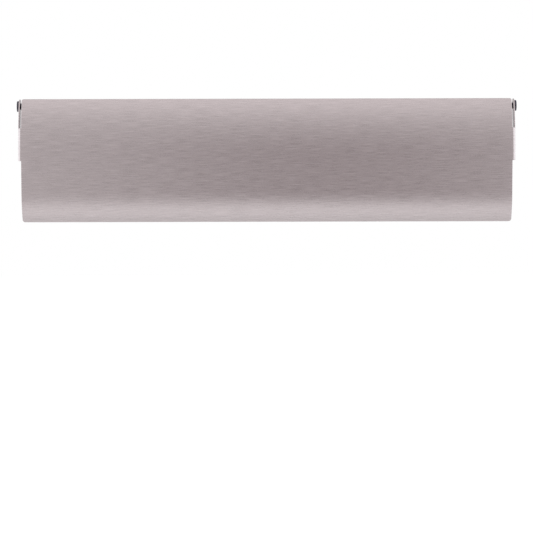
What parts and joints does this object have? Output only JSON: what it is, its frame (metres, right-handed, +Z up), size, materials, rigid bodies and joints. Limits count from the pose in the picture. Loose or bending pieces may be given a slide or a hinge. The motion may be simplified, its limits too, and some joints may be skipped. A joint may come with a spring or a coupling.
{
  "type": "letterbox draught excluder",
  "caption": "Long curved plate for the inside of a door: its letter opening is closed by a hanging brush curtain behind a hinged steel flap that turns on ears at both ends.",
  "frame": {"origin": "middle of the fixing holes on the plate's back face, which lies against the door", "axes": "+X along the plate, +Y into the door (the front faces -Y), +Z up"},
  "size_m": [0.3424, 0.0164, 0.0845],
  "materials": {
    "frame_plastic": "satin moulded, fine grain",
    "flap_steel": "satin, grain brushed along the plate",
    "pin_plastic": "satin moulded",
    "channel_steel": "plain plated",
    "bristle_fibre": "black fibre with pale tips"
  },
  "bodies": {
    "frame": {"base_frame": "frame_plastic", "left_pivot_pin": "pin_plastic", "right_pivot_pin": "pin_plastic", "brush_channel": "channel_steel", "brush_core_wire": "channel_steel", "brush_bristles": "bristle_fibre"},
    "flap": {"flap": "flap_steel"}
  },
  "joints": [
    {"name": "flap_hinge", "type": "hinge", "parent": "frame", "child": "flap", "pos_m": [0, -0.0057, 0.0351], "axis": [-1, 0, 0], "range_deg": [0, 78]}
  ]
}
